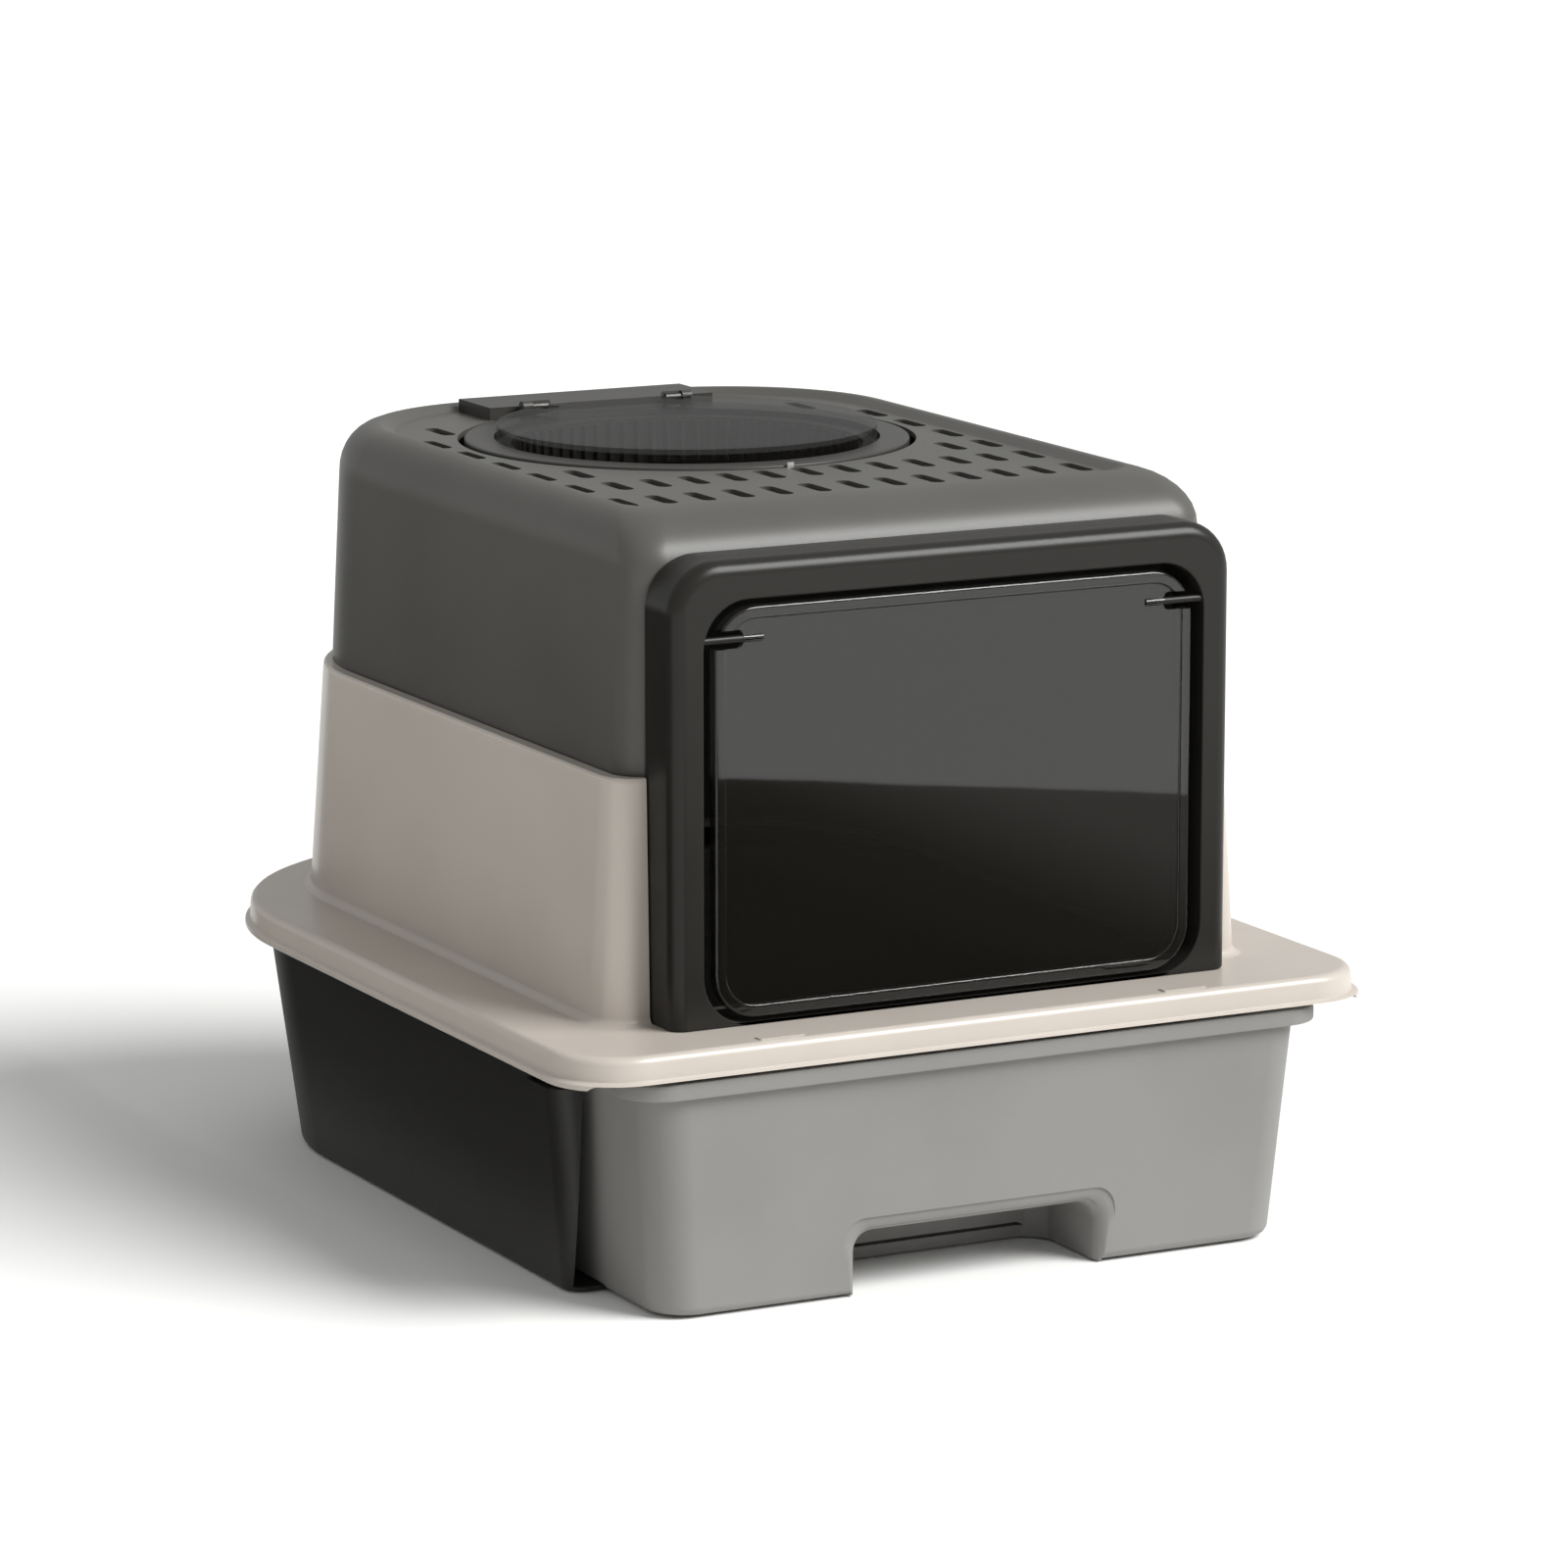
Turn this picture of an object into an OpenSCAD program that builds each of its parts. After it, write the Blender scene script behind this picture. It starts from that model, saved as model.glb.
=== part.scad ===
// Hooded cat litter box: a tub with a pull-out litter drawer, a collar frame that
// sits on the tub, and a lift-off hood with a swing door in front and a round lid on top.
// Millimetres, +Z up, front faces -Y, origin under the middle of the whole box.

/* [Overall] */
// Half width of the collar frame, the widest part of the box
frame_half_w = 224; // [200:1:250]
// Front edge of the collar frame, measured from the middle
front_y = -262; // [-300:1:-230]
// Back edge of the collar frame, measured from the middle
back_y = 262; // [230:1:300]
// Wall of the moulded plastic shells
wall = 3; // [2:0.5:4]
// Air gap kept between pieces that come apart
gap = 0.3; // [0.2:0.1:0.6]

/* [Tub and drawer] */
// Half width of the tub at the floor
tub_half_w = 191; // [170:1:200]
// Outward lean of the tub's walls over their height
tub_draft = 15.6; // [8:0.2:20]
// Half width of the litter drawer at its bottom
drawer_half_w = 173.4; // [150:0.2:180]
// Height of the drawer's body, up to its rim
drawer_h = 112; // [80:0.5:114]
// Height of the rim round the drawer
drawer_rim_h = 8; // [5:0.5:9]
// How far the drawer pulls out
drawer_travel = 400; // [200:10:450]
// Half width of the finger recess in the drawer's front
recess_half_w = 67.4; // [50:0.2:90]
// Height of the finger recess
recess_h = 31; // [20:0.5:45]
// Depth of the finger recess
recess_depth = 60; // [30:1:75]

/* [Collar frame] */
// Height of the frame's flat top above the floor
deck_z = 135.5; // [125:0.5:150]
// Height of the top of the collar wall
collar_top_z = 256; // [200:1:280]
// Outer half width of the collar wall where it meets the deck
collar_half_w = 180; // [165:1:195]

/* [Hood] */
// Half width of the hood where it leaves the collar
hood_half_w = 164.6; // [150:0.2:175]
// Height of the crest round the roof
hood_top_z = 380.7; // [340:0.5:420]
// Depth of the roof panel below the crest
roof_recess = 4; // [3:0.1:15]
// Front face of the hood
hood_front_y = -192.4; // [-210:0.2:-180]
// Back face of the hood
hood_back_y = 242.3; // [220:0.1:250]
// Length of one vent slot in the roof
slot_len = 28; // [15:1:40]
// Width of one vent slot
slot_w = 8; // [4:0.5:10]

/* [Entry] */
// Half width of the entry frame
bezel_half_w = 155; // [140:1:165]
// Front face of the entry frame
bezel_front_y = -223.2; // [-230:0.2:-205]
// Height of the top of the entry frame
bezel_top_z = 363.4; // [330:0.2:375]
// Half width of the doorway
doorway_half_w = 138.2; // [110:0.2:145]
// Height of the top of the doorway
doorway_top_z = 344; // [300:0.5:350]
// Half width of the door panel
door_half_w = 132; // [100:0.5:136]
// Height of the door's pivot
door_pivot_z = 325; // [300:0.5:335]
// Diameter of a door pin
door_pin_d = 3.6; // [3:0.1:6]

/* [Top lid] */
// Radius of the lid
lid_r = 99.4; // [80:0.2:110]
// Outer radius of the ring round the lid
ring_r = 116.2; // [105:0.2:125]
// Place of the ring's centre along the roof
ring_y = 71.5; // [50:0.5:80]
// Place of the lid's hinge line along the roof
lid_hinge_y = 168; // [160:0.5:172]
// Diameter of a lid hinge pin
lid_pin_d = 4; // [3:0.5:5]

/* [Hidden] */
$fn = 96;
corner_fn = 32;
arc_steps = 8;
skin = 0.3;

// Tub
tub_front_y = -181;
tub_back_y = 236;
tub_top_z = deck_z - wall - gap;
tub_return_z = 105.5;
tub_return_half_w = 188;

// Drawer
drawer_front_y = -247;
drawer_back_y = 222;
drawer_draft = 8.8;
drawer_lift = 0.5;
drawer_foot_z = 0.5;
recess_corner_r = 18;
rim_half_w = 192.7;
rim_front_y = -259.3;
rim_back_y = 241;
rim_top_z = drawer_h + drawer_rim_h;

// Collar frame
deck_half_w = frame_half_w - 2.4;
skirt_z = 119.7;
front_skirt_z = 122.3;
frame_hole_half_w = 158;
collar_lean = 7;
collar_front_y = -198.6;
collar_back_y = 252.8;
collar_top_wall = collar_half_w - collar_lean - hood_half_w - 0.8;
pad_x = 112;

// Hood
hood_lean = 4;
roof_z = hood_top_z - roof_recess;
hood_bottom_z = deck_z + gap;
slot_pitch_x = 21.3;
slot_rows = [-113, -64, -20, 22, 64, 106, 148];
roof_half_w = 132.4;
roof_front_y = -145;
roof_back_y = 219;
ring_hole_r = ring_r + 3.5;
hood_door_half_w = 146;
hood_door_top_z = 352;

// Ring and lid
ring_bore_r = 92;
ring_flange_r = ring_hole_r + 3;
ring_top_z = 377.6;
ring_seat_z = 374.2;
ring_foot_z = 350;
ring_seat_r = lid_r + 1.4;
lid_top_z = 384.6;
lid_skirt_z = 375;
lid_plate = 3;
lid_pivot_z = 383.5;
knuckle_r = 3.2;
knuckle_in = 34;
knuckle_out = 44;
ear_out = 50;
block_half_w = 66;
block_front_y = 173;
ear_notch_y = 163;
run_fit = 0.05;

// Door
door_y = -220.6;
door_plate = 4;
door_bottom_z = 138.7;
door_top_z = 340.6;
door_corner_r = 22.5;
door_rim = 5;
barrel_r = 4;
barrel_in = 106;
barrel_out = 116.6;

// Thin slab with round corners: one height in the stack that hull() turns into a shell.
module level(half_w, front, back, front_r, back_r, z) {
  for (side = [-1, 1]) {
    translate([side * (half_w - front_r), front + front_r, z])
      cylinder(h = skin, r = front_r, $fn = corner_fn);
    translate([side * (half_w - back_r), back - back_r, z])
      cylinder(h = skin, r = back_r, $fn = corner_fn);
  }
}

// Block spanning the whole width, from one front-to-back place to another.
module slab(half_w, y0, y1, z0, z1) {
  translate([-half_w, y0, z0]) cube([2 * half_w, y1 - y0, z1 - z0]);
}

// Outline of an upright plate with four round corners, as points in X and Z.
function arc(x, z, r, a0) = [for (i = [0 : arc_steps]) let (a = a0 + 90 * i / arc_steps)
  [x + r * cos(a), z + r * sin(a)]];
function round_outline(half_w, z0, z1, r) = concat(
  arc(half_w - r, z0 + r, r, -90), arc(half_w - r, z1 - r, r, 0),
  arc(r - half_w, z1 - r, r, 90), arc(r - half_w, z0 + r, r, 180));

// Upright plate with four round corners, facing the front.
module round_plate(half_w, z0, z1, y0, y1, r) {
  translate([0, y1, 0]) rotate([90, 0, 0]) linear_extrude(y1 - y0)
    polygon(round_outline(half_w, z0, z1, r));
}

// Round bar along X.
module bar_x(x0, x1, y, z, r) {
  translate([x0, y, z]) rotate([0, 90, 0]) cylinder(h = x1 - x0, r = r);
}

module tub_solid(inset, z0, z1) {
  lean = tub_draft / tub_top_z;
  hull() {
    level(tub_half_w - inset - 3 + lean * z0, tub_front_y + inset + 3, tub_back_y - inset - 3,
      10, 110, z0);
    for (z = [z0 + 3, z1])
      level(tub_half_w - inset + lean * z, tub_front_y + inset - 0.09 * z,
        tub_back_y - inset + lean * z, 12, 114 + 0.1 * z, z);
  }
}

module base_tub() {
  color("#262522") difference() {
    tub_solid(0, 0, tub_top_z - skin);
    tub_solid(wall, wall, tub_top_z + 20);
    slab(tub_return_half_w, front_y, tub_front_y + 20, wall, deck_z);
    slab(frame_half_w, front_y, tub_front_y + 20, tub_return_z, deck_z);
  }
}

module drawer_solid(inset, z0, z1) {
  lean = drawer_draft / drawer_h;
  hull() for (z = [z0, z1])
    level(drawer_half_w - inset + lean * z, drawer_front_y + inset - 0.9 * lean * z,
      drawer_back_y - inset + lean * z, 23, 105, z);
}

module recess_solid(grow, y0) {
  back = drawer_front_y + recess_depth + grow;
  intersection() {
    round_plate(recess_half_w + grow, -30, recess_h + grow, y0, back, 10);
    // round inner corners, seen from above
    hull() {
      slab(recess_half_w + grow, y0, back - 2 * recess_corner_r, 0, deck_z);
      for (side = [-1, 1])
        translate([side * (recess_half_w + grow - recess_corner_r), back - recess_corner_r, 0])
          cylinder(h = deck_z, r = recess_corner_r, $fn = corner_fn);
    }
  }
}

module litter_drawer() {
  color("#9c9b95") difference() {
    union() {
      difference() {
        drawer_solid(0, drawer_foot_z, drawer_h);
        drawer_solid(wall, wall + drawer_lift + wall, drawer_h + 10);
      }
      // rim that hangs over the tub's front edges
      difference() {
        hull() for (z = [drawer_h, rim_top_z - skin])
          level(rim_half_w, rim_front_y, rim_back_y, 28, 116, z);
        drawer_solid(wall, drawer_h - 20, rim_top_z + 10);
      }
      // inner wall of the finger recess
      intersection() {
        recess_solid(wall, front_y);
        drawer_solid(1, drawer_foot_z, drawer_h);
      }
    }
    translate([0, 0, -1]) recess_solid(0, front_y - 10);
    slab(frame_half_w, tub_front_y - 2, back_y, -1, wall + drawer_lift);
  }
}

module skirt_cut() {
  // front edge of the skirt sits a little higher than the sides
  translate([0, front_y + 70, 0]) rotate([90, 0, 0]) linear_extrude(90)
    polygon([[-215, skirt_z - 5], [215, skirt_z - 5], [215, skirt_z], [210, front_skirt_z],
      [-210, front_skirt_z], [-215, skirt_z]]);
}

module collar_frame() {
  lean = collar_lean / (collar_top_z - deck_z);
  color("#b8b0a8") {
    difference() {
      union() {
        hull() {
          level(frame_half_w, front_y, back_y, 36, 150, skirt_z);
          level(frame_half_w, front_y, back_y, 36, 150, skirt_z + 3);
          level(deck_half_w, front_y + 3, back_y - 3, 35, 148, skirt_z + 4);
          level(deck_half_w, front_y + 4, back_y - 3, 35, 148, deck_z - 4);
          level(deck_half_w - 1.2, front_y + 5.2, back_y - 4.2, 34, 147, deck_z - 1.2);
          level(deck_half_w - 4, front_y + 8, back_y - 7, 32, 144, deck_z - skin);
        }
        // collar wall, standing on the deck
        hull() {
          level(collar_half_w, collar_front_y, collar_back_y, 14, 120, deck_z - 1.7);
          level(collar_half_w - collar_lean, collar_front_y + 3, collar_back_y - 6, 14, 115,
            collar_top_z - 2);
          level(collar_half_w - collar_lean - 1.5, collar_front_y + 4.5, collar_back_y - 7.5,
            13, 114, collar_top_z - skin);
        }
      }
      // hollow under the deck
      hull() for (z = [skirt_z - 5, deck_z - wall])
        level(deck_half_w - wall, front_y + 7, back_y - 6, 33, 146, z);
      // room for the hood inside the collar, and for the entry frame in front
      hull() {
        level(hood_half_w + 9, hood_front_y - 0.8, collar_back_y - wall, 17, 112, deck_z - 0.2);
        level(hood_half_w + 0.8, hood_front_y - 0.8, hood_back_y + 0.8, 17, 105, collar_top_z + 5);
      }
      slab(bezel_half_w + 2 * gap, front_y - 40, hood_front_y + 40, deck_z - 0.2, hood_top_z);
      // floor hole over the drawer
      hull() for (z = [deck_z - 10, deck_z + 5])
        level(frame_hole_half_w, hood_front_y + 12, hood_back_y - 12, 20, 96, z);
      skirt_cut();
    }
    for (side = [-1, 1])
      translate([side * pad_x - 12, front_y + 8, deck_z - 1]) cube([24, 6, 1.8]);
  }
}

module hood_stack(inset, top) {
  // side shoulder and the longer front slope both fade into the roof crest
  steps = 5;
  hull() {
    for (z = [hood_bottom_z - (inset > 0 ? 5 : 0), collar_top_z])
      level(hood_half_w - inset, hood_front_y + inset, hood_back_y - inset, 19, 104, z);
    for (i = [0 : steps]) {
      a = 90 * i / steps;
      side_in = hood_lean + 19 * (1 - cos(a)) + inset;
      front_in = 38 * (1 - cos(a)) + inset;
      level(hood_half_w - side_in, hood_front_y + front_in, hood_back_y - side_in,
        19, 100, top - 25 + 25 * sin(a));
    }
  }
}

module vent_slot() {
  // slot with round ends, as an outline of two half circles
  r = slot_w / 2;
  reach = slot_len / 2 - r;
  linear_extrude(20) polygon([for (end = [0, 180], a = [0 : 30 : 180])
    [r * cos(a + end), (end == 0 ? reach : -reach) + r * sin(a + end)]]);
}

// Rows of slots, left out where the ring, the hinge block or the edge is in the way.
module vent_slots() {
  columns = 6;
  for (i = [-columns : columns], y = slot_rows) {
    x = i * slot_pitch_x;
    clear_of_ring = norm([x, max(abs(y - ring_y) - slot_len / 2, 0)]) > ring_hole_r + 1.2;
    clear_of_edge = norm([max(abs(x) - 44, 0), max(y - 120, 0)]) < 85;
    clear_of_block = abs(x) > block_half_w + 5 || y < block_front_y - 20;
    if (clear_of_ring && clear_of_edge && clear_of_block)
      translate([x, y, roof_z - 10]) vent_slot();
  }
}

module hood_shell() {
  color("#484742") difference() {
    hood_stack(0, hood_top_z - skin);
    hood_stack(wall, roof_z - wall);
    // recessed roof
    hull() for (z = [roof_z, hood_top_z + 0.5])
      level(roof_half_w + (z - roof_z) * 2, roof_front_y - (z - roof_z) * 2,
        roof_back_y + (z - roof_z) * 1.5, 22, 84, z);
    translate([0, ring_y, roof_z - 10]) cylinder(h = 20, r = ring_hole_r);
    vent_slots();
    round_plate(hood_door_half_w, -60, hood_door_top_z, front_y, hood_front_y + 50, 20);
  }
}

module entry_bezel() {
  color("#4a4944") difference() {
    intersection() {
      round_plate(bezel_half_w, -60, bezel_top_z, bezel_front_y, hood_front_y, 26);
      slab(frame_half_w, front_y, back_y, hood_bottom_z, 400);
    }
    round_plate(doorway_half_w, hood_bottom_z + 1.2, doorway_top_z, front_y, back_y, 24);
    for (side = [-1, 1])
      bar_x(side * 145 - 8, side * 145 + 8, door_y, door_pivot_z, door_pin_d / 2);
  }
}

module front_door() {
  hinge_y = door_y;
  y0 = hinge_y - door_plate / 2;
  y1 = hinge_y + door_plate / 2;
  color("#2e2d29") difference() {
    union() {
      difference() {
        union() {
          round_plate(door_half_w, door_bottom_z, door_top_z, y0, y1, door_corner_r);
          // thicker rim, standing towards the inside
          round_plate(door_half_w, door_bottom_z, door_top_z, y1, y1 + 2, door_corner_r);
        }
        round_plate(door_half_w - door_rim, door_bottom_z + door_rim, door_top_z - door_rim,
          y1, y1 + 5, door_corner_r - door_rim);
        for (side = [-1, 1])
          translate([side * (door_half_w + barrel_out) / 2 - 8, front_y, door_pivot_z - 4.5])
            cube([16, 60, 9]);
      }
      for (side = [-1, 1])
        bar_x(side > 0 ? barrel_in : -barrel_out, side > 0 ? barrel_out : -barrel_in,
          hinge_y, door_pivot_z, barrel_r);
    }
    for (side = [-1, 1])
      bar_x(side > 0 ? barrel_in + 3 : -barrel_out - 20, side > 0 ? barrel_out + 20 : -barrel_in - 3,
        hinge_y, door_pivot_z, door_pin_d / 2 + run_fit);
  }
}

module door_pin(side) {
  color("#5a5954")
    bar_x(side > 0 ? barrel_in + 4 : -doorway_half_w - 8, side > 0 ? doorway_half_w + 8 : -barrel_in - 4,
      door_y, door_pivot_z, door_pin_d / 2);
}

module door_pin_left() { door_pin(-1); }
module door_pin_right() { door_pin(1); }

module top_ring() {
  color("#62615c") translate([0, ring_y, 0]) rotate_extrude() polygon([
    [ring_bore_r, ring_foot_z], [ring_bore_r + wall, ring_foot_z],
    [ring_bore_r + wall, roof_z - wall - 3], [ring_flange_r, roof_z - wall - 3],
    [ring_flange_r, roof_z - wall], [ring_r, roof_z - wall], [ring_r, ring_top_z - 2],
    [ring_r - 2, ring_top_z], [ring_seat_r, ring_top_z], [ring_seat_r, ring_seat_z],
    [ring_bore_r, ring_seat_z]]);
}

module lid_disc(r, z0, z1) {
  translate([0, ring_y, z0]) difference() {
    cylinder(h = z1 - z0, r = r);
    translate([-r, lid_hinge_y - ring_y, -1]) cube([2 * r, r, z1 - z0 + 2]);
  }
}

module top_lid() {
  color("#3b3a36") difference() {
    union() {
      lid_disc(lid_r, lid_top_z - lid_plate, lid_top_z);
      difference() {
        lid_disc(lid_r, lid_skirt_z, lid_top_z);
        lid_disc(lid_r - 2, lid_skirt_z - 1, lid_top_z - lid_plate);
        slab(knuckle_in - 4, ring_y, back_y, lid_skirt_z - 1, lid_top_z - lid_plate);
      }
      for (side = [-1, 1]) {
        bar_x(side > 0 ? knuckle_in : -knuckle_out, side > 0 ? knuckle_out : -knuckle_in,
          lid_hinge_y, lid_pivot_z, knuckle_r);
        translate([side > 0 ? knuckle_in : -knuckle_out, lid_hinge_y - 14, lid_pivot_z - 2])
          cube([knuckle_out - knuckle_in, 14, 4]);
      }
    }
    for (side = [-1, 1]) {
      bar_x(side * 39 - 5.2, side * 39 + 5.2, lid_hinge_y, lid_pivot_z, lid_pin_d / 2 + run_fit);
      // room for the ears when the lid swings
      translate([side > 0 ? knuckle_out + 0.15 : -knuckle_out - 40.15, ear_notch_y, lid_skirt_z - 2])
        cube([40, 20, 20]);
    }
  }
}

module lid_hinge_block() {
  color("#6a6964") difference() {
    union() {
      slab(block_half_w, block_front_y, roof_back_y - 6, roof_z, lid_pivot_z);
      for (side = [-1, 1]) {
        bar_x(side > 0 ? knuckle_out + gap : -ear_out, side > 0 ? ear_out : -knuckle_out - gap,
          lid_hinge_y, lid_pivot_z, knuckle_r);
        translate([side > 0 ? knuckle_out + gap : -ear_out, lid_hinge_y, lid_pivot_z - 4])
          cube([ear_out - knuckle_out - gap, block_front_y - lid_hinge_y + 1, 4]);
      }
    }
    for (side = [-1, 1])
      bar_x(side * 47 - 10, side * 47 + 10, lid_hinge_y, lid_pivot_z, lid_pin_d / 2);
    // the block bridges the back of the ring
    translate([0, ring_y, roof_z - 5]) cylinder(h = ring_top_z + gap - roof_z + 5, r = ring_r + gap);
  }
}

module lid_pin(side) {
  color("#c8c8c4")
    bar_x(side > 0 ? knuckle_in + 1 : -ear_out, side > 0 ? ear_out : -knuckle_in - 1,
      lid_hinge_y, lid_pivot_z, lid_pin_d / 2);
}

module lid_pin_left() { lid_pin(-1); }
module lid_pin_right() { lid_pin(1); }

module lid_catch() {
  color("#d8d8d4") translate([-1.8, ring_y - ring_r - 1.5, ring_top_z - 3.8]) cube([3.6, 1.4, 5]);
}

base_tub();
litter_drawer();
collar_frame();
hood_shell();
entry_bezel();
front_door();
door_pin_left();
door_pin_right();
top_ring();
top_lid();
lid_hinge_block();
lid_pin_left();
lid_pin_right();
lid_catch();
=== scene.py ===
"""Hooded cat litter box: the moulded shells, the smoke-clear door and lid, and their finishes."""

from math import cos, pi, radians, sin

import bmesh
import bpy
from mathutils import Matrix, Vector


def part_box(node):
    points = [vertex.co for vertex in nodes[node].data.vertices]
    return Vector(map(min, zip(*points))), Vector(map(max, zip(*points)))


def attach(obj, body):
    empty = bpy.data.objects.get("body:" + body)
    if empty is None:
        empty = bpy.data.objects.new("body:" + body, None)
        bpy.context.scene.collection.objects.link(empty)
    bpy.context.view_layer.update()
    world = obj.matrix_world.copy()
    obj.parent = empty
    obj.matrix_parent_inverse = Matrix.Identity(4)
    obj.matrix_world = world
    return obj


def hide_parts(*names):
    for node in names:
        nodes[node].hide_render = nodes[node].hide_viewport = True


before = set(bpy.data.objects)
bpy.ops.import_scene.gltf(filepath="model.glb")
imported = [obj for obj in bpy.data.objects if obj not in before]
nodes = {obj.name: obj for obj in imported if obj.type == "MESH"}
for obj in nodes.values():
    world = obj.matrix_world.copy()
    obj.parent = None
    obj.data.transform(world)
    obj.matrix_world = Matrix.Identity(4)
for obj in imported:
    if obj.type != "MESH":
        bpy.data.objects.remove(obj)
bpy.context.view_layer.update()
MM = 0.001


# ---------------------------------------------------------------- working tools

def nothing_selected():
    if bpy.context.object and bpy.context.object.mode == "EDIT":
        bpy.ops.object.mode_set(mode="OBJECT")
    bpy.ops.object.select_all(action="DESELECT")


def only(piece):
    nothing_selected()
    piece.select_set(True)
    bpy.context.view_layer.objects.active = piece


def pick(kind, test):
    """In edit mode, select the vertices, edges or faces whose every corner passes the test."""
    mesh = bpy.context.object.data
    bpy.ops.mesh.select_mode(type=kind)
    bpy.ops.mesh.select_all(action="DESELECT")
    shape = bmesh.from_edit_mesh(mesh)
    parts = {"VERT": shape.verts, "EDGE": shape.edges, "FACE": shape.faces}[kind]
    for part in parts:
        corners = [part.co] if kind == "VERT" else [v.co for v in part.verts]
        if all(test(c / MM) for c in corners):
            part.select_set(True)
    shape.select_flush_mode()
    bmesh.update_edit_mesh(mesh)


def picked_box():
    shape = bmesh.from_edit_mesh(bpy.context.object.data)
    spots = [v.co / MM for v in shape.verts if v.select]
    low = Vector([min(p[i] for p in spots) for i in range(3)])
    high = Vector([max(p[i] for p in spots) for i in range(3)])
    return low, high


def round_sheet(name, half_w, front, back, front_r, back_r, z, steps=8):
    """A flat sheet with two front and two back round corners, left in edit mode."""
    nothing_selected()
    bpy.ops.mesh.primitive_plane_add(size=1, location=(0, 0, 0))
    piece = bpy.context.object
    piece.name = name
    bpy.ops.object.mode_set(mode="EDIT")
    bpy.ops.transform.resize(value=(2 * half_w * MM, (back - front) * MM, 1), center_override=(0, 0, 0))
    bpy.ops.transform.translate(value=(0, (front + back) / 2 * MM, z * MM))
    middle = (front + back) / 2
    for r, test in ((front_r, lambda c: c.y < middle), (back_r, lambda c: c.y > middle)):
        pick("VERT", test)
        bpy.ops.mesh.bevel(offset=r * MM, segments=steps * (1 if r < 40 else 3), affect="VERTICES")
    bpy.ops.mesh.select_all(action="SELECT")
    return piece


def raise_to(half_w, front, back, z):
    """Extrude the selected face, then place it: its new half width, front, back and height."""
    low, high = picked_box()
    bpy.ops.mesh.extrude_region_move()
    width = half_w / ((high.x - low.x) / 2)
    depth = (back - front) / (high.y - low.y)
    middle = (low.y + high.y) / 2
    bpy.ops.transform.resize(value=(width, depth, 1), center_override=(0, middle * MM, low.z * MM))
    bpy.ops.transform.translate(value=(0, ((front + back) / 2 - middle) * MM, (z - low.z) * MM))


def round_edges(width, steps, test, kind="EDGE"):
    pick(kind, test)
    bpy.ops.mesh.bevel(offset=width * MM, segments=steps, affect="EDGES", clamp_overlap=True)


def block(name, low, high, edge_r=0, steps=6, along="Y"):
    """A block from corner to corner, its long edges rounded, for cutting or joining."""
    nothing_selected()
    low, high = Vector(low), Vector(high)
    bpy.ops.mesh.primitive_cube_add(size=1, location=(0, 0, 0))
    piece = bpy.context.object
    piece.name = name
    bpy.ops.object.mode_set(mode="EDIT")
    bpy.ops.transform.resize(value=(high - low) * MM, center_override=(0, 0, 0))
    bpy.ops.transform.translate(value=(low + high) / 2 * MM)
    if edge_r:
        i = "XYZ".index(along)
        bpy.ops.mesh.select_mode(type="EDGE")
        bpy.ops.mesh.select_all(action="DESELECT")
        shape = bmesh.from_edit_mesh(piece.data)
        for edge in shape.edges:
            a, b = (v.co for v in edge.verts)
            if abs(a[i] - b[i]) > 1e-5:
                edge.select_set(True)
        bmesh.update_edit_mesh(piece.data)
        bpy.ops.mesh.bevel(offset=edge_r * MM, segments=steps, affect="EDGES")
    bpy.ops.object.mode_set(mode="OBJECT")
    return piece


def bar(name, start, end, r, along="X", sides=48):
    """A round bar between two places on one axis."""
    nothing_selected()
    start, end = Vector(start) * MM, Vector(end) * MM
    turn = {"X": (0, pi / 2, 0), "Y": (pi / 2, 0, 0), "Z": (0, 0, 0)}[along]
    bpy.ops.mesh.primitive_cylinder_add(vertices=sides, radius=r * MM, depth=(end - start).length,
                                        location=(start + end) / 2, rotation=turn)
    piece = bpy.context.object
    piece.name = name
    bpy.ops.object.transform_apply()
    return piece


def apply(piece, kind, **settings):
    only(piece)
    modifier = piece.modifiers.new(kind.title(), kind)
    for name, value in settings.items():
        setattr(modifier, name, value)
    bpy.ops.object.modifier_apply(modifier=modifier.name)


def cut(piece, tool, way="DIFFERENCE"):
    apply(piece, "BOOLEAN", operation=way, object=tool, solver="EXACT")
    bpy.data.objects.remove(tool, do_unlink=True)


def tidy_normals(piece):
    only(piece)
    bpy.ops.object.mode_set(mode="EDIT")
    bpy.ops.mesh.select_all(action="SELECT")
    bpy.ops.mesh.remove_doubles(threshold=0.00001)
    bpy.ops.mesh.normals_make_consistent(inside=False)
    bpy.ops.object.mode_set(mode="OBJECT")


def copy_of(piece, spot=(0, 0), turn=0):
    """A copy with its own mesh, turned about the upright axis and then moved to its place."""
    only(piece)
    bpy.ops.object.duplicate(linked=False)
    bpy.ops.transform.rotate(value=-turn, orient_axis="Z", center_override=(0, 0, 0))
    bpy.ops.transform.translate(value=(spot[0] * MM, spot[1] * MM, 0))
    bpy.ops.object.transform_apply()
    return bpy.context.object


def join(name, *pieces):
    nothing_selected()
    for piece in pieces:
        piece.select_set(True)
    bpy.context.view_layer.objects.active = pieces[0]
    bpy.ops.object.join()
    bpy.context.object.name = name
    return bpy.context.object


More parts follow.
